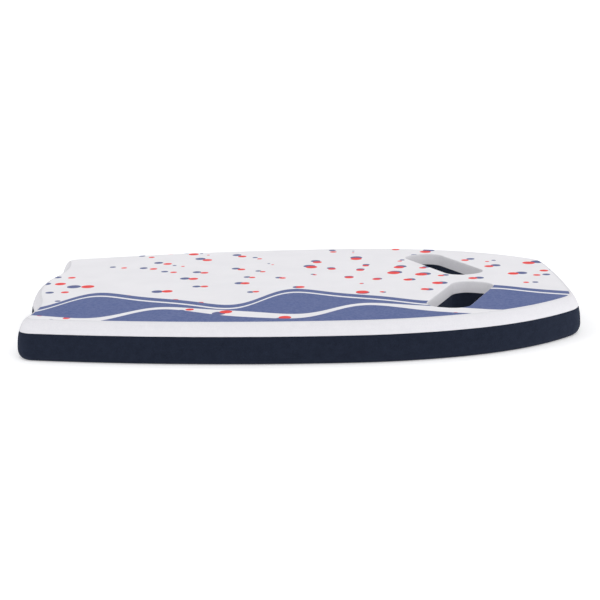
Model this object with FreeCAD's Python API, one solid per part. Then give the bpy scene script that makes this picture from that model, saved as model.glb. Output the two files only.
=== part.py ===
"""A swimming kickboard: a printed white foam deck bonded to a navy foam core.

The board lies flat. +X points to the nose, +Z is up, and the origin is under the middle
of the board, on the surface that it rests on. Everything is in millimetres and degrees.

Half of the outline is a chain of tangent arcs, from the middle of the tail, round the
+Y side, to the middle of the nose. The other half is its mirror image. One edge section
follows the whole outline: a tall quarter ellipse above a low one, widest in the lower
half of the core. The real board is bonded first and shaped afterwards, so the model is
too: the whole board is made as one shape, and then split by level into its four layers.
"""

import math
import os

import FreeCAD, Part
from FreeCAD import Placement, Rotation, Vector

# Layers: (node, thickness), from the underside up
LAYERS = (
    ("foam_core", 20.5),
    ("bond_film", 0.1),
    ("foam_deck", 9.35),
    ("print_film", 0.05),
)
BOARD_THICKNESS = sum(thickness for _, thickness in LAYERS)

# Outline: (stretch, radius, heading at its end). A heading is the direction of travel,
# counted from +X. A negative radius is a hollow, where the outline bends the other way.
TAIL_HEADING = 90.0
NOSE_HEADING = -90.0
OUTLINE_ARCS = (
    ("tail bulge", 162.0, 75.3),
    ("bay beside it", -124.5, 102.7),
    ("tail corner", 15.0, 12.6),
    ("flank", 1004.0, -0.9),
    ("shoulder", 306.0, -17.9),
    ("nose flank", 188.5, -45.2),
    ("nose corner", 33.5, -86.2),
)

# Edge section: how high the board is widest, and how far in its two roundings reach
WIDEST_LEVEL = 7.0
TOP_ROUND_REACH = 9.4
BOTTOM_ROUND_REACH = 4.9
RIM_REACH = 9.8

# Hand slots: one on each side, nearer to each other at the nose
SLOT_LENGTH = 92.4
SLOT_WIDTH = 32.8
SLOT_CORNER_RADIUS = 13.7
SLOT_FROM_NOSE = 93.1
SLOT_FROM_CENTRELINE = 57.3
SLOT_LEAN = 22.8
SLOT_MOUTH_RADIUS = 0.8

# How far a cutting tool runs past the board
OVERRUN = 10.0
TOLERANCE = 0.001

UP = Vector(0, 0, 1)


def outward(heading):
    """The unit vector that points out of the board where the outline has this heading."""
    angle = math.radians(heading + 90.0)
    return Vector(math.cos(angle), math.sin(angle), 0)


def mirrored(shape):
    """The same shape on the other side of the centreline."""
    return shape.mirror(Vector(0, 0, 0), Vector(0, 1, 0))


def half_outline():
    """The arcs from tail to nose as (centre, radius, heading at the start, at the end)."""
    point, heading = Vector(0, 0, 0), TAIL_HEADING
    arcs = []
    for _, radius, end_heading in OUTLINE_ARCS:
        centre = point - outward(heading) * radius
        arcs.append((centre, radius, heading, end_heading))
        point, heading = centre + outward(end_heading) * radius, end_heading
    # The nose's front closes the chain: its centre lies on the centreline.
    radius = point.y / outward(heading).y
    arcs.append((point - outward(heading) * radius, radius, heading, NOSE_HEADING))
    return arcs


def arc_edge(centre, radius, start, end):
    """One arc of the outline, as an edge."""
    points = [centre + outward(h) * radius for h in (start, (start + end) / 2, end)]
    return Part.Arc(*points).toShape()


def inner_plate(arcs):
    """The flat middle of the board, as far out as the rim's inner wall."""
    half = Part.Wire([arc_edge(c, r - RIM_REACH, a, b) for c, r, a, b in arcs])
    outline = Part.Wire([half, mirrored(half)])
    return Part.Face(outline).extrude(UP * BOARD_THICKNESS)


def quarter_ellipse(reach, height):
    """A quarter ellipse in the XZ plane, from X = 0 at the widest level, in and up or down."""
    centre = Vector(-reach, 0, WIDEST_LEVEL)
    tips = [Vector(0, 0, WIDEST_LEVEL), centre + UP * height]
    if abs(height) > reach:
        tips.reverse()
    return Part.ArcOfEllipse(Part.Ellipse(*tips, centre), 0, math.pi / 2).toShape()


def edge_section():
    """The rim's section in the XZ plane, outermost at X = 0."""
    rounds = [
        quarter_ellipse(TOP_ROUND_REACH, BOARD_THICKNESS - WIDEST_LEVEL),
        quarter_ellipse(BOTTOM_ROUND_REACH, -WIDEST_LEVEL),
    ]
    corners = [
        Vector(-TOP_ROUND_REACH, 0, BOARD_THICKNESS),
        Vector(-RIM_REACH, 0, BOARD_THICKNESS),
        Vector(-RIM_REACH, 0, 0),
        Vector(-BOTTOM_ROUND_REACH, 0, 0),
    ]
    flats = [Part.makeLine(a, b) for a, b in zip(corners, corners[1:])]
    return Part.Face(Part.Wire(Part.sortEdges(rounds + flats)[0]))


def rim_sector(section, centre, radius, start, end):
    """The rim along one arc of the outline: the section, turned about the arc's centre."""
    section = section.copy()
    section.Placement = Placement(centre + outward(start) * radius, Rotation(UP, start + 90.0))
    return section.revolve(centre, UP, end - start)


def slot_cutter(nose_x):
    """The hand slot on the +Y side, as a prism that runs through the board."""
    size = Vector(SLOT_WIDTH, SLOT_LENGTH, BOARD_THICKNESS + 2 * OVERRUN)
    block = Part.makeBox(*size, Vector(-SLOT_WIDTH / 2, -SLOT_LENGTH / 2, -OVERRUN))
    uprights = [e for e in block.Edges if e.BoundBox.ZLength > OVERRUN]
    block = block.makeFillet(SLOT_CORNER_RADIUS, uprights)
    middle = Vector(nose_x - SLOT_FROM_NOSE, SLOT_FROM_CENTRELINE, 0)
    block.Placement = Placement(middle, Rotation(UP, SLOT_LEAN))
    return block


def slot_mouths(board, cutters):
    """The edges round the slots, on the board's two faces."""
    mouths = []
    for edge in board.Edges:
        box = edge.BoundBox
        on_a_face = min(abs(box.ZMin), abs(box.ZMin - BOARD_THICKNESS)) < TOLERANCE
        level = on_a_face and box.ZLength < TOLERANCE
        if level and any(cutter.BoundBox.isInside(box.Center) for cutter in cutters):
            mouths.append(edge)
    return mouths


def whole_board():
    """The shaped board, before it is split into layers."""
    arcs = half_outline()
    section = edge_section()
    rim = [rim_sector(section, *arc) for arc in arcs]
    rim += [mirrored(sector) for sector in rim]
    board = inner_plate(arcs).multiFuse(rim).removeSplitter()
    cutter = slot_cutter(nose_x=board.BoundBox.XMax)
    cutters = [cutter, mirrored(cutter)]
    board = board.cut(Part.makeCompound(cutters))
    board = board.makeFillet(SLOT_MOUTH_RADIUS, slot_mouths(board, cutters))
    board.translate(Vector(-board.BoundBox.Center.x, 0, 0))
    return board


def layer(board, floor, thickness):
    """The part of the board that lies in one layer."""
    box = board.BoundBox
    corner = Vector(box.XMin - OVERRUN, box.YMin - OVERRUN, floor)
    slab = Part.makeBox(box.XLength + 2 * OVERRUN, box.YLength + 2 * OVERRUN, thickness, corner)
    return board.common(slab).Solids[0]


def main():
    os.makedirs("parts", exist_ok=True)
    board = whole_board()
    floor = 0.0
    for node, thickness in LAYERS:
        shape = layer(board, floor, thickness)
        shape.exportStep(f"parts/{node}.step")
        print(f"{node}: {shape.Volume / 1000:.1f} cm3, valid: {shape.isValid()}")
        floor += thickness
    size = board.BoundBox
    print(f"board: {size.XLength:.1f} x {size.YLength:.1f} x {size.ZLength:.1f} mm")


main()
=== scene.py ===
# %% [markdown]
# # A swimming kickboard
# A kickboard is cut from a laminate: a thin white sheet of closed-cell foam, printed on
# top, is glued to a thick navy sheet. The shape is cut out, two hand slots are punched
# through, and a cutter rounds the edge. This lesson builds the finish of each layer
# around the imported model, which says where everything is. Lengths are in metres, so
# numbers that a maker would read off a drawing are written in millimetres times MM.

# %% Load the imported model
import math

import bmesh
import bpy
from mathutils import Matrix, Vector


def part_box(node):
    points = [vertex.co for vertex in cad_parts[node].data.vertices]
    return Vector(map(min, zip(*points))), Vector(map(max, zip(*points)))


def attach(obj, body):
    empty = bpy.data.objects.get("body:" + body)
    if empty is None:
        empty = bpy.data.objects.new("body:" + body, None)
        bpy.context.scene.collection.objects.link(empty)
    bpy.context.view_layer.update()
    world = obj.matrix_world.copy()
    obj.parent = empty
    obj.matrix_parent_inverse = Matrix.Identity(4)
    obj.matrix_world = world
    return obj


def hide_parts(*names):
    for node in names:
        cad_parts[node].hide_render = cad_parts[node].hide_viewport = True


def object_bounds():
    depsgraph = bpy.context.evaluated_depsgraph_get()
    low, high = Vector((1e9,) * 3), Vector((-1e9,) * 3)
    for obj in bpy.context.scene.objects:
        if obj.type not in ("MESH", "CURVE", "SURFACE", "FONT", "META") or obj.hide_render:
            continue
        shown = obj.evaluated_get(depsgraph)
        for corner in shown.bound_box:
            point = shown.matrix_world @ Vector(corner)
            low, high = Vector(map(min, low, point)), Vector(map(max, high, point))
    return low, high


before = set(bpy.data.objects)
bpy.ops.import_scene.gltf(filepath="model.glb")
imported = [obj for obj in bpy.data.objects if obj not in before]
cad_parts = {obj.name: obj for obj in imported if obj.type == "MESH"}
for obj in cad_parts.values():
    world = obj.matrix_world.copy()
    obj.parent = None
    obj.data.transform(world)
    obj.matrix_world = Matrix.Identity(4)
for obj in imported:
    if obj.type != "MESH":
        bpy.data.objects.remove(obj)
cad_low, cad_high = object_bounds()
MM = 0.001
print("packed model, mm:", [round(side / MM, 1) for side in cad_high - cad_low])

# %% [markdown]
# ## Levels
# The layers lie on each other like a sandwich, so their heights come straight from the
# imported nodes. Nothing is measured twice, and a thicker core would lift all that is on it.

# %% Read the layer heights
CORE_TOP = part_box("foam_core")[1].z
DECK_BOTTOM, DECK_TOP = (corner.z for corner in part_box("foam_deck"))
BOARD_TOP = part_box("print_film")[1].z
tops = (CORE_TOP, DECK_TOP, BOARD_TOP)
print("core, deck and board tops, mm:", [round(z / MM, 2) for z in tops])

# %% [markdown]
# ## The outline
# Seen from above, half of the board is eight arcs, each one leaving in the direction in
# which the last one ended: a bulging tail, the bay beside it, a small corner, the long
# flank, the shoulder and the nose. A chain of arcs could be drawn as a curve and filled,
# but here each arc is kept as a centre and a turn, because that is just what Spin needs.
# A heading is the direction of travel, counted from +X, and a negative radius is a bay.

# %% Work out the arcs' centres
TAIL_HEADING = 90.0
NOSE_HEADING = -90.0
OUTLINE_ARCS = (
    ("tail bulge", 162.0, 75.3),
    ("bay beside it", -124.5, 102.7),
    ("tail corner", 15.0, 12.6),
    ("flank", 1004.0, -0.9),
    ("shoulder", 306.0, -17.9),
    ("nose flank", 188.5, -45.2),
    ("nose corner", 33.5, -86.2),
)
LONGEST_STEP = 5 * MM
WIDEST_STEP = math.radians(3.0)


def outward(heading):
    """The direction out of the board where the outline has this heading."""
    angle = math.radians(heading + 90.0)
    return Vector((math.cos(angle), math.sin(angle), 0.0))


def arc_steps(radius, turn):
    """Enough steps for a short chord and a small turn at each."""
    return math.ceil(max(abs(radius * turn) / LONGEST_STEP, abs(turn) / WIDEST_STEP))


def outline_turns():
    """The arcs from tail to nose as (centre, turn in radians, steps)."""
    point, heading, turns = Vector((cad_low.x, 0.0, 0.0)), TAIL_HEADING, []
    arcs = [(radius * MM, end) for _, radius, end in OUTLINE_ARCS] + [(None, NOSE_HEADING)]
    for radius, end in arcs:
        radius = radius or point.y / outward(heading).y
        centre = point - outward(heading) * radius
        turn = math.radians(end - heading)
        turns.append((centre, turn, arc_steps(radius, turn)))
        point, heading = centre + outward(end) * radius, end
    return turns, point


OUTLINE, nose = outline_turns()
print("steps round half the board:", sum(steps for _, _, steps in OUTLINE))
print("nose, mm:", round(nose.x / MM, 2), "and in the packed model:", round(cad_high.x / MM, 2))

# %% [markdown]
# ## Sections
# Every edge of the board is a stretch of an ellipse: the tall rounding of the rim, the low
# one under it, the rims of the slots, and the hair-fine softening where two sheets meet.
# So one helper gives the points of any of them. A point is how far it lies inside the
# foam, and its height. A section is a few such stretches, listed from the bottom up, and
# each layer has two of them: one for its rim and one for the walls of its slots.

# %% Make sections out of bends
WIDEST_LEVEL = 7.0 * MM
TOP_ROUND_REACH = 9.4 * MM
BOTTOM_ROUND_REACH = 4.9 * MM
MOUTH_RADIUS = 0.8 * MM
SEAM_RADIUS = 0.22 * MM
GLUE_SETBACK = SEAM_RADIUS / 2
FLAT_BORDER = 1.5 * MM
LOW_ROUND_STEPS = 14
CORE_ROUND_STEPS = 12
DECK_ROUND_STEPS = 18
CORE_MOUTH_STEPS = 6
DECK_MOUTH_STEPS = 5
SKIN_STEPS = 2
SEAM_STEPS = 4
QUARTER = math.pi / 2


def bend(inset, level, reach, height, start, end, steps):
    """Points on an ellipse about (inset, level), between two angles."""
    angles = [start + (end - start) * k / steps for k in range(steps + 1)]
    return [(inset - reach * math.cos(a), level + height * math.sin(a)) for a in angles]


def low_round():
    """The rim from the underside out to the widest level."""
    reach, height = BOTTOM_ROUND_REACH, WIDEST_LEVEL
    border = [(reach + FLAT_BORDER, 0.0)]
    return border + bend(reach, WIDEST_LEVEL, reach, height, -QUARTER, 0.0, LOW_ROUND_STEPS)


def high_angle(z):
    """The angle on the tall rounding that has this height."""
    return math.asin(min(1.0, (z - WIDEST_LEVEL) / (BOARD_TOP - WIDEST_LEVEL)))


def high_round(low, high, steps):
    """The rim's tall rounding between two heights."""
    reach, height = TOP_ROUND_REACH, BOARD_TOP - WIDEST_LEVEL
    return bend(reach, WIDEST_LEVEL, reach, height, high_angle(low), high_angle(high), steps)


def seam(wall, level, side):
    """A sheet's softened corner at a glue joint: side is 1 at its top, -1 at its bottom."""
    reach, height = SEAM_RADIUS, side * SEAM_RADIUS
    points = bend(wall + reach, level - height, reach, height, 0.0, QUARTER, SEAM_STEPS)
    return points if side > 0 else points[::-1]


def mouth(level, start, end, steps):
    """A stretch of the small rounding at a slot's mouth, whose centre has this height."""
    return bend(MOUTH_RADIUS, level, MOUTH_RADIUS, MOUTH_RADIUS, start, end, steps)


def rim_inset(z):
    """How far the rim lies inside the widest line, above the widest level."""
    return TOP_ROUND_REACH * (1 - math.cos(high_angle(z)))


LOW_MOUTH = MOUTH_RADIUS
HIGH_MOUTH = BOARD_TOP - MOUTH_RADIUS
SKIN_CUT = math.asin(1 - (BOARD_TOP - DECK_TOP) / MOUTH_RADIUS)
GLUE_LEVELS = (CORE_TOP, DECK_BOTTOM)
SECTIONS = {
    "core": (
        low_round()
        + high_round(WIDEST_LEVEL, CORE_TOP - SEAM_RADIUS, CORE_ROUND_STEPS)[1:-1]
        + seam(rim_inset(CORE_TOP), CORE_TOP, 1),
        mouth(LOW_MOUTH, -QUARTER, 0.0, CORE_MOUTH_STEPS) + seam(0.0, CORE_TOP, 1),
    ),
    "glue": (
        [(rim_inset(CORE_TOP) + GLUE_SETBACK, level) for level in GLUE_LEVELS],
        [(GLUE_SETBACK, level) for level in GLUE_LEVELS],
    ),
    "deck": (
        seam(rim_inset(DECK_BOTTOM), DECK_BOTTOM, -1)
        + high_round(DECK_BOTTOM + SEAM_RADIUS, DECK_TOP, DECK_ROUND_STEPS)[1:],
        seam(0.0, DECK_BOTTOM, -1) + mouth(HIGH_MOUTH, 0.0, SKIN_CUT, DECK_MOUTH_STEPS),
    ),
    "skin": (
        high_round(DECK_TOP, BOARD_TOP, SKIN_STEPS)
        + [(TOP_ROUND_REACH + FLAT_BORDER, BOARD_TOP)],
        mouth(HIGH_MOUTH, SKIN_CUT, QUARTER, SKIN_STEPS),
    ),
}
for layer, (rim, wall) in SECTIONS.items():
    print(f"{layer}: {len(rim)} points in its rim and {len(wall)} in its slot walls")

# %% [markdown]
# ## Sweeping the rim
# The rim could be a bevel on an extruded slab, but a bevel is round, and this edge is much
# taller than it is deep. Instead the section is carried round the board, as a cutter is:
# it is drawn at the middle of the tail, and Spin turns it about each arc's centre in
# turn, starting from where the last arc left it. A mirror gives the other side.

# %% Spin a section round the outline
def sweep_rim(bm, section):
    """The rim on the +Y side, as one strip of quads from the tail to the nose."""
    start = [bm.verts.new((cad_low.x + inset, 0.0, z)) for inset, z in section]
    chain = start + [bm.edges.new(pair) for pair in zip(start, start[1:])]
    for centre, turn, steps in OUTLINE:
        spun = bmesh.ops.spin(
            bm, geom=chain, cent=centre, axis=(0, 0, 1), angle=turn, steps=steps, use_merge=False
        )
        chain = spun["geom_last"]


# %% [markdown]
# ## The hand slots
# A slot is a rounded rectangle, turned a little, so that the two slots lean together at
# the nose, as a swimmer's hands do. One ring is made at each height of its wall: a square
# grid of one face, scaled, with its four corners beveled round. Bridging the rings gives
# the wall, its softened mouth and its seam.

# %% Bridge rings into a slot wall
SLOT_LENGTH = 92.4 * MM
SLOT_WIDTH = 32.8 * MM
SLOT_CORNER_RADIUS = 13.7 * MM
SLOT_LEAN = math.radians(22.8)
SLOT_FROM_NOSE = 93.1 * MM
SLOT_FROM_CENTRELINE = 57.3 * MM
SLOT_MIDDLE = Vector((cad_high.x - SLOT_FROM_NOSE, SLOT_FROM_CENTRELINE, 0.0))
SLOT_CORNER_STEPS = 24


def slot_ring(bm, inset, z):
    """The edges of the slot's outline at a height, this far into the foam."""
    corners = bmesh.ops.create_grid(bm, x_segments=1, y_segments=1, size=1.0)["verts"]
    half = Vector((SLOT_WIDTH / 2 + inset, SLOT_LENGTH / 2 + inset, 1.0))
    bmesh.ops.scale(bm, vec=half, verts=corners)
    lean = Matrix.Rotation(SLOT_LEAN, 3, "Z")
    bmesh.ops.rotate(bm, cent=(0, 0, 0), matrix=lean, verts=corners)
    bmesh.ops.translate(bm, vec=SLOT_MIDDLE + Vector((0.0, 0.0, z)), verts=corners)
    bmesh.ops.bevel(
        bm, geom=corners, offset=SLOT_CORNER_RADIUS + inset, offset_type="OFFSET",
        segments=SLOT_CORNER_STEPS, profile=0.5, affect="VERTICES", material=-1,
    )
    bm.faces.ensure_lookup_table()
    face = bm.faces[-1]
    edges = list(face.edges)
    bmesh.ops.delete(bm, geom=[face], context="FACES_ONLY")
    return edges


def slot_wall(bm, section):
    """The slot's wall on the +Y side, bridged from ring to ring."""
    rings = [slot_ring(bm, inset, z) for inset, z in section]
    for lower, upper in zip(rings, rings[1:]):
        bmesh.ops.bridge_loops(bm, edges=lower + upper)


# %% [markdown]
# ## Closing a layer
# Rim and slot walls are open strips. Triangle Fill closes them between their loose edges,
# and it leaves the slots open by itself. The flat faces are shaded flat and the strips
# smooth, so that the light runs cleanly over the rounding and stops dead on the flats.

# %% Build a whole layer
TOLERANCE = 0.001 * MM


def is_level(edge, level):
    """Whether both ends of an edge have this height."""
    return all(abs(vert.co.z - level) < TOLERANCE for vert in edge.verts)


def fill_level(bm, level, up):
    """A flat face between all the loose edges at one height."""
    edges = [edge for edge in bm.edges if edge.is_boundary and is_level(edge, level)]
    made = bmesh.ops.triangle_fill(bm, edges=edges, use_beauty=True, normal=(0, 0, up))
    for face in made["geom"]:
        if isinstance(face, bmesh.types.BMFace):
            face.smooth = False


def build_layer(name, layer):
    """One sheet of the laminate, as a closed mesh object."""
    rim, wall = SECTIONS[layer]
    bm = bmesh.new()
    sweep_rim(bm, rim)
    slot_wall(bm, wall)
    for face in bm.faces:
        face.smooth = True
    everything = bm.verts[:] + bm.edges[:] + bm.faces[:]
    whole = Matrix.Identity(4)
    bmesh.ops.mirror(bm, geom=everything, matrix=whole, merge_dist=TOLERANCE, axis="Y")
    fill_level(bm, rim[0][1], -1)
    fill_level(bm, rim[-1][1], 1)
    bmesh.ops.remove_doubles(bm, verts=bm.verts, dist=TOLERANCE / 2)
    bmesh.ops.recalc_face_normals(bm, faces=bm.faces)
    loose = sum(1 for edge in bm.edges if not edge.is_manifold)
    volume = bm.calc_volume() / (10 * MM) ** 3
    print(f"{name}: {len(bm.faces)} faces, {loose} open edges, {volume:.1f} cm3")
    mesh = bpy.data.meshes.new(name)
    bm.to_mesh(mesh)
    bm.free()
    piece = bpy.data.objects.new(name, mesh)
    bpy.context.scene.collection.objects.link(piece)
    return piece


# %% Make the four layers
navy_core = build_layer("navy_core", "core")
glue_line = build_layer("glue_line", "glue")
white_deck = build_layer("white_deck", "deck")
printed_skin = build_layer("printed_skin", "skin")

# %% [markdown]
# ## Helpers for finishes
# A finish is a small graph of nodes. Written out in full, each node takes four or five
# lines, so a few helpers keep the graphs short enough to read. One adds a node, one gives
# a socket either a value or another node's output, and the rest stand for the sums, mixes
# and noises that every finish needs. Where a node has sockets of one name for several
# kinds of data, they are picked by number instead.

# %% Define the node helpers
MIX_SHARE, MIX_UNDER, MIX_OVER, MIX_RESULT = 0, 6, 7, 2


def srgb(red, green, blue):
    """A colour picked as 0 to 255 values, as the shader wants it."""
    parts = [part / 255 for part in (red, green, blue)]
    linear = [p / 12.92 if p <= 0.04045 else ((p + 0.055) / 1.055) ** 2.4 for p in parts]
    return (*linear, 1.0)


def give(tree, socket, value):
    """Give a socket a plain value, or link it to another node's output."""
    if isinstance(value, bpy.types.NodeSocket):
        tree.links.new(value, socket)
    else:
        socket.default_value = value


def node(tree, kind, sockets=(), **settings):
    """A node of a kind, with its settings and its (socket, value) pairs."""
    made = tree.nodes.new("ShaderNode" + kind)
    for name, value in settings.items():
        setattr(made, name, value)
    for name, value in sockets:
        give(tree, made.inputs[name], value)
    return made


def calc(tree, operation, *values, clamp=False):
    """The output of a Math node."""
    return node(tree, "Math", enumerate(values), operation=operation, use_clamp=clamp).outputs[0]


def blend_colour(tree, share, under, over):
    """The colour over laid on the colour under, where share is 1."""
    sockets = [(MIX_SHARE, share), (MIX_UNDER, under), (MIX_OVER, over)]
    return node(tree, "Mix", sockets, data_type="RGBA").outputs[MIX_RESULT]


def noise(tree, place, size, detail=3.0, roughness=0.5):
    """Noise from 0 to 1 whose largest blots are this many metres wide."""
    sockets = [("Vector", place), ("Scale", 1 / size), ("Detail", detail), ("Roughness", roughness)]
    return node(tree, "TexNoise", sockets).outputs["Fac"]


def remap(tree, value, low, high, to_low, to_high):
    """A value stretched from one range to another, and held inside it."""
    return node(tree, "MapRange", enumerate((value, low, high, to_low, to_high))).outputs[0]


def bumps(tree, strength, depth, height):
    """A normal for the shader that follows a pattern of heights."""
    sockets = [("Strength", strength), ("Distance", depth), ("Height", height)]
    return node(tree, "Bump", sockets).outputs[0]


def new_finish(name):
    """An empty material: its tree, its shader and the place on the piece."""
    material = bpy.data.materials.new(name)
    material.use_nodes = True
    tree = material.node_tree
    shader = tree.nodes["Principled BSDF"]
    return material, tree, shader, node(tree, "TexCoord").outputs["Object"]


# %% [markdown]
# ## Cut foam
# Closed-cell foam is a froth of bubbles well under a millimetre wide. Where a blade or a
# cutter goes through it, the surface is open bubbles: dull and finely grained, and the pits
# are painted a little darker, as painted shade inside them. The cutter also leaves faint
# tracks along the edge. Voronoi cells make the bubbles and the painted shade in their pits,
# noise makes the cloudy mottling of the pigment, and noise squeezed flat makes the tracks.
# Torn bubble walls stand up like the pile of a cloth, so the navy foam looks paler where the
# eye skims over it: that is what the shader's sheen is for. On white foam the same sheen
# wouldn't show, so it has none.

# %% Define the foam finish
CELL_SIZE = 0.8 * MM
MOTTLE_SIZE = 5.0 * MM
SWELL_SIZE = 45.0 * MM
TRACK_STRETCH = (14.0, 14.0, 900.0)
MOTTLE_SHADE = 0.45
TRACK_SHADE = 0.15
PIT_SHADE = 0.5
SWELL_HEIGHT = 3.0
TRACK_HEIGHT = 0.15
BUBBLE_HEIGHT = 0.35
FOAM_RELIEF_DEPTH = 0.25 * MM
FOAM_DULLNESS = (0.82, 0.96)
FOAM_GLOSS = 0.12


def foam(name, pigment, dark_tone_and_pit_shade, relief):
    """Cut foam of one pigment, with painted shade in its pits, cutter tracks and a fine relief."""
    material, tree, shader, place = new_finish(name)
    cells = node(tree, "TexVoronoi", [("Vector", place), ("Scale", 1 / CELL_SIZE)])
    bubble = remap(tree, cells.outputs["Distance"], 0.1, 0.7, 0.0, 1.0)
    clouds = noise(tree, place, MOTTLE_SIZE, detail=6.0, roughness=0.65)
    mottle = remap(tree, clouds, 0.3, 0.7, 0.0, 1.0)
    swell = noise(tree, place, SWELL_SIZE, detail=1.0)
    squeezed = node(tree, "Mapping", [("Vector", place), ("Scale", TRACK_STRETCH)]).outputs[0]
    scratches = noise(tree, squeezed, 1.0, detail=4.0, roughness=0.7)
    track = remap(tree, scratches, 0.35, 0.65, 0.0, 1.0)
    shade = calc(tree, "MULTIPLY", mottle, MOTTLE_SHADE)
    shade = calc(tree, "MULTIPLY_ADD", track, TRACK_SHADE, shade)
    # Painted shade: the pits of the bubbles are darkened towards the second colour, which the
    # mottle and cutter tracks also reach as the foam's own darker tone.
    pit_shade_mask = calc(tree, "SUBTRACT", 1.0, bubble)
    shade = calc(tree, "MULTIPLY_ADD", pit_shade_mask, PIT_SHADE, shade, clamp=True)
    give(tree, shader.inputs["Base Color"], blend_colour(tree, shade, pigment, dark_tone_and_pit_shade))
    give(tree, shader.inputs["Roughness"], remap(tree, mottle, 0.0, 1.0, *FOAM_DULLNESS))
    height = calc(tree, "MULTIPLY", track, TRACK_HEIGHT)
    height = calc(tree, "MULTIPLY_ADD", swell, SWELL_HEIGHT, height)
    height = calc(tree, "MULTIPLY_ADD", bubble, BUBBLE_HEIGHT, height)
    give(tree, shader.inputs["Normal"], bumps(tree, relief, FOAM_RELIEF_DEPTH, height))
    shader.inputs["Specular IOR Level"].default_value = FOAM_GLOSS
    return material, shader


# Each foam's second colour is both its darker tone and the painted shade in its pits.
cut_navy, navy_shader = foam("cut_navy_foam", srgb(17, 23, 35), srgb(3, 4, 7), relief=0.9)
navy_shader.inputs["Sheen Weight"].default_value = 0.15
navy_shader.inputs["Sheen Roughness"].default_value = 1.0
navy_shader.inputs["Sheen Tint"].default_value = srgb(108, 124, 165)
cut_white, _ = foam("cut_white_foam", srgb(224, 223, 227), srgb(216, 215, 220), relief=0.25)
print("foam finishes:", cut_navy.name, cut_white.name)

# %% [markdown]
# ## The glue line
# The two sheets are joined with a contact adhesive that cures to a thin, slightly glossy,
# greyish film. It is set back a hair from the cut edge, so all that shows of it is a fine
# dark line, paler here and there where more glue was squeezed out.

# %% Define the glue finish
SQUEEZE_SIZE = 9.0 * MM
THIN_GLUE = srgb(70, 76, 92)
THICK_GLUE = srgb(132, 136, 148)
GLUE_DULLNESS = (0.65, 0.35)


def glue_finish():
    """Set glue, paler and glossier where it was squeezed out."""
    material, tree, shader, place = new_finish("set_glue")
    squeeze = remap(tree, noise(tree, place, SQUEEZE_SIZE, detail=5.0), 0.4, 0.6, 0.0, 1.0)
    give(tree, shader.inputs["Base Color"], blend_colour(tree, squeeze, THIN_GLUE, THICK_GLUE))
    give(tree, shader.inputs["Roughness"], remap(tree, squeeze, 0.0, 1.0, *GLUE_DULLNESS))
    return material


set_glue = glue_finish()

# %% [markdown]
# ## The print
# The deck is printed flat before it is cut, so the design runs out at the rounded edge and
# into the slots as if it were snipped off. It has three inks: slate blue dots, red dots
# over them, and a slate blue band of waves along one side, printed last. The blue dots are
# the red ones a little enlarged about one point, as from two stencils that don't quite
# agree, so the pairs drift apart towards the ends of the board.
# A dot could be a small disc of mesh, but ink has no thickness, so each pattern is a mask:
# a number from 0 to 1 that says where its ink lies.

# %% Define the dot mask
INK_EDGE = 0.25 * MM
DOT_SPACING = 24.0 * MM
DOT_RADIUS = (1.2 * MM, 5.4 * MM)
DOT_SHARE = 0.56
DOT_SCATTER = 0.55
DOT_TURN = 0.4


def dot_mask(tree, place):
    """Dots scattered one to a cell, in a share of the cells, and of uneven size."""
    turn = [("Vector", place), ("Rotation", (0.0, 0.0, DOT_TURN))]
    grid = node(tree, "Mapping", turn).outputs[0]
    sockets = [("Vector", grid), ("Scale", 1 / DOT_SPACING), ("Randomness", DOT_SCATTER)]
    cells = node(tree, "TexVoronoi", sockets, voronoi_dimensions="2D")
    chance = node(tree, "SeparateColor", [("Color", cells.outputs["Color"])])
    radius = remap(tree, chance.outputs["Red"], 0.0, 1.0, *DOT_RADIUS)
    distance = calc(tree, "MULTIPLY", cells.outputs["Distance"], DOT_SPACING)
    inside = calc(tree, "DIVIDE", calc(tree, "SUBTRACT", radius, distance), INK_EDGE, clamp=True)
    chosen = calc(tree, "LESS_THAN", chance.outputs["Green"], DOT_SHARE)
    return calc(tree, "MULTIPLY", inside, chosen)


# %% [markdown]
# ### The waves
# A sine wave looks like a diagram. Adding a little of the sine to its own angle makes it
# lean like a swell. Two such lines bound the upper wave, and a third lies below a white
# gap and tops the wave in front. A thin line in the paper's white follows the crest.

# %% Define the wave masks
WAVE_LENGTH = 152 * MM
CREST = {"level": -53 * MM, "height": 25 * MM, "shift": 30 * MM, "lean": 0.6}
KEEL = {"level": -96 * MM, "height": 15 * MM, "shift": -22 * MM, "lean": 0.5}
GAP = {"level": 12 * MM, "height": 5 * MM, "shift": 75 * MM, "lean": 0.3}
FOAM_LINE = (10 * MM, 14 * MM)


def wave_line(tree, along, level, height, shift, lean):
    """The height of a leaning wave at each place along the board."""
    angle = calc(tree, "MULTIPLY", calc(tree, "ADD", along, shift), 2 * math.pi / WAVE_LENGTH)
    leaning = calc(tree, "MULTIPLY_ADD", calc(tree, "SINE", angle), lean, angle)
    return calc(tree, "MULTIPLY_ADD", calc(tree, "SINE", leaning), height, level)


def below(tree, across, line):
    """1 below a line and 0 above it."""
    return calc(tree, "DIVIDE", calc(tree, "SUBTRACT", line, across), INK_EDGE, clamp=True)


def between(tree, across, high, low):
    """1 between two lines and 0 outside them."""
    return calc(tree, "SUBTRACT", below(tree, across, high), below(tree, across, low), clamp=True)


def wave_masks(tree, place):
    """The waves along the board's -Y side, and the white line under their crest."""
    axes = node(tree, "SeparateXYZ", [("Vector", place)])
    along, across = axes.outputs["X"], axes.outputs["Y"]
    crest = wave_line(tree, along, **CREST)
    keel = wave_line(tree, along, **KEEL)
    front = calc(tree, "SUBTRACT", keel, wave_line(tree, along, **GAP))
    upper = between(tree, across, crest, keel)
    waves = calc(tree, "ADD", upper, below(tree, across, front), clamp=True)
    high, low = (calc(tree, "SUBTRACT", crest, depth) for depth in FOAM_LINE)
    return waves, between(tree, across, high, low)


# %% [markdown]
# ### The printed skin
# The inks sink into a film with the foam's grain under it, so they are matt and very
# slightly uneven. The grain shows as a soft relief, shallower than on the cut edges.

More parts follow.
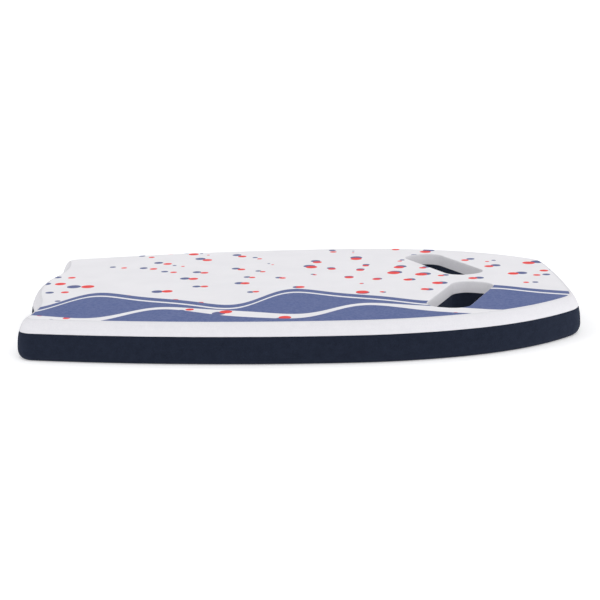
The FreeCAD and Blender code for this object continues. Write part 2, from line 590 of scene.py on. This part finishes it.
# %% Define the print finish
STENCIL_GROWTH = 1.053
STENCIL_CENTRE = Vector((41 * MM, -20 * MM, 0.0))
PAPER = srgb(240, 239, 243)
BLUE_DOT_INK = srgb(96, 106, 151)
RED_INK = srgb(240, 72, 69)
WAVE_INK = srgb(75, 93, 146)
WORN_WAVE_INK = srgb(109, 121, 165)
SHADOW_TINT = srgb(150, 152, 165)
SHADOW_SHARE = 0.04
GRAIN_SIZE = 2.2 * MM
CLOUD_SIZE = 30.0 * MM
CLOUD_HEIGHT = 6.0
PRINT_RELIEF = 0.35
PRINT_RELIEF_DEPTH = 0.12 * MM
PRINT_DULLNESS = (0.62, 0.8)
PRINT_GLOSS = 0.25


def grown(tree, place):
    """The place on the blue stencil, which is slightly larger than the red one."""
    shrink = 1 / STENCIL_GROWTH
    shift = STENCIL_CENTRE * (1 - shrink)
    sockets = [("Vector", place), ("Scale", (shrink,) * 3), ("Location", shift)]
    return node(tree, "Mapping", sockets).outputs[0]


def print_finish():
    """The printed film: its inks laid over each other on white, with a soft grain."""
    material, tree, shader, place = new_finish("deck_print")
    specks = noise(tree, place, GRAIN_SIZE, detail=5.0, roughness=0.7)
    grain = remap(tree, specks, 0.35, 0.65, 0.0, 1.0)
    cloud = noise(tree, place, CLOUD_SIZE, detail=2.0)
    waves, foam_line = wave_masks(tree, place)
    colour = PAPER
    for mask, ink in (
        (dot_mask(tree, grown(tree, place)), BLUE_DOT_INK),
        (dot_mask(tree, place), RED_INK),
        (waves, blend_colour(tree, grain, WAVE_INK, WORN_WAVE_INK)),
        (foam_line, PAPER),
    ):
        colour = blend_colour(tree, mask, colour, ink)
    shade = remap(tree, cloud, 0.35, 0.65, 0.0, SHADOW_SHARE)
    give(tree, shader.inputs["Base Color"], blend_colour(tree, shade, colour, SHADOW_TINT))
    give(tree, shader.inputs["Roughness"], remap(tree, grain, 0.0, 1.0, *PRINT_DULLNESS))
    height = calc(tree, "MULTIPLY_ADD", cloud, CLOUD_HEIGHT, grain)
    give(tree, shader.inputs["Normal"], bumps(tree, PRINT_RELIEF, PRINT_RELIEF_DEPTH, height))
    shader.inputs["Specular IOR Level"].default_value = PRINT_GLOSS
    return material


deck_print = print_finish()

# %% [markdown]
# ## Dressing the model
# Each row gives a piece, its finish, its plain node and the material slot of the record
# that it shows. Each piece takes its finish and rides on the model's one body, and its plain
# node is hidden.

# %% Dress the pieces
FINISHES = (
    (navy_core, cut_navy, "foam_core", "navy_foam"),
    (glue_line, set_glue, "bond_film", "adhesive"),
    (white_deck, cut_white, "foam_deck", "white_foam"),
    (printed_skin, deck_print, "print_film", "print"),
)
for piece, finish, cad_node, slot in FINISHES:
    piece.data.materials.append(finish)
    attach(piece, "root")
    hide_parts(cad_node)
print("dressed:", [row[0].name for row in FINISHES])

# %% [markdown]
# ## The studio
# The board lies on a pale sweep that is lit a little from below, as in a catalogue, which
# takes away most of its shadow. Suns with a wide disc act as large soft boxes that reach
# the whole floor alike. The brightest box stands in front and above, so that its light
# falls into the hand slots. Another stands low beyond the nose, so that the edge is lightest
# there. All round, low down, the sky is as white as the floor, like a studio's curved wall,
# and higher up it is dimmer. The floor lies a hair below the board, so that two faces never
# share a level.

# %% Build the floor and the light
FLOOR_SIZE = 300.0
FLOOR_LEVEL = -0.1 * MM
FLOOR_GLOW = 0.26
FLOOR_WHITES = (srgb(249, 249, 250), srgb(246, 246, 248))
FLOOR_CLOUD_SIZE = 0.6
WHITE = (1.0, 1.0, 1.0, 1.0)
WALL_EDGE = (0.08, 0.18)
WALL_LIGHT = 1.05
SKY_LIGHT = 0.42
BOX_SPREAD = math.radians(50.0)
SOFT_BOXES = (
    ("nose_box", (1.0, 0.0, 0.21), 0.95),
    ("tail_box", (-1.0, 0.0, 0.7), 0.66),
    ("front_box", (0.4, -1.6, 1.7), 1.25),
    ("rear_box", (0.0, 1.0, 1.7), 0.22),
)


def make_floor():
    """The pale floor, faintly glowing."""
    bm = bmesh.new()
    bmesh.ops.create_grid(bm, x_segments=1, y_segments=1, size=FLOOR_SIZE)
    bmesh.ops.translate(bm, vec=(0.0, 0.0, FLOOR_LEVEL), verts=bm.verts)
    mesh = bpy.data.meshes.new("floor")
    bm.to_mesh(mesh)
    bm.free()
    floor = bpy.data.objects.new("floor", mesh)
    bpy.context.scene.collection.objects.link(floor)
    material, tree, shader, place = new_finish("floor")
    tint = remap(tree, noise(tree, place, FLOOR_CLOUD_SIZE), 0.3, 0.7, 0.0, 1.0)
    give(tree, shader.inputs["Base Color"], blend_colour(tree, tint, *FLOOR_WHITES))
    shader.inputs["Roughness"].default_value = 0.9
    shader.inputs["Specular IOR Level"].default_value = 0.0
    shader.inputs["Emission Color"].default_value = WHITE
    shader.inputs["Emission Strength"].default_value = FLOOR_GLOW
    mesh.materials.append(material)


def soft_box(name, direction, strength):
    """A sun with a wide disc, which stands in this direction from the board."""
    sun = bpy.data.lights.new(name, "SUN")
    sun.energy = strength
    sun.angle = BOX_SPREAD
    lamp = bpy.data.objects.new(name, sun)
    lamp.rotation_euler = Vector(direction).to_track_quat("Z", "Y").to_euler()
    bpy.context.scene.collection.objects.link(lamp)


def make_sky():
    """A sky that is white low down and dimmer above."""
    world = bpy.data.worlds.new("sky")
    world.use_nodes = True
    tree = world.node_tree
    direction = node(tree, "TexCoord").outputs["Generated"]
    rise = node(tree, "SeparateXYZ", [("Vector", direction)]).outputs["Z"]
    background = tree.nodes["Background"]
    background.inputs["Color"].default_value = WHITE
    strength = remap(tree, rise, *WALL_EDGE, WALL_LIGHT, SKY_LIGHT)
    give(tree, background.inputs["Strength"], strength)
    bpy.context.scene.world = world


make_floor()
for box in SOFT_BOXES:
    soft_box(*box)
make_sky()
print("soft boxes:", [name for name, _, _ in SOFT_BOXES])

# %% [markdown]
# ## The camera
# The camera stands low beside the board, a little over a metre away, with a long lens. It
# is turned about the board, raised, and rolled by about a degree, as hand-held cameras are.
# View transform Standard keeps the pigments as they were mixed.

# %% Place the camera
CAMERA_TARGET = Vector((-0.8, 0.0, 14.4)) * MM
CAMERA_DISTANCE = 1078 * MM
CAMERA_TURN = math.radians(-0.66)
CAMERA_RAISE = math.radians(13.09)
CAMERA_ROLL = math.radians(-1.02)
LENS = 80.2
SENSOR_WIDTH = 36.0

turned = (
    Matrix.Rotation(CAMERA_TURN, 4, "Z")
    @ Matrix.Rotation(QUARTER - CAMERA_RAISE, 4, "X")
    @ Matrix.Rotation(CAMERA_ROLL, 4, "Z")
)
camera = bpy.data.objects.new("camera", bpy.data.cameras.new("camera"))
camera.data.lens = LENS
camera.data.sensor_width = SENSOR_WIDTH
back = Matrix.Translation((0, 0, CAMERA_DISTANCE))
camera.matrix_world = Matrix.Translation(CAMERA_TARGET) @ turned @ back
bpy.context.scene.collection.objects.link(camera)
bpy.context.scene.camera = camera
bpy.context.scene.view_settings.view_transform = "Standard"
print("camera, mm:", [round(c / MM) for c in camera.matrix_world.translation])
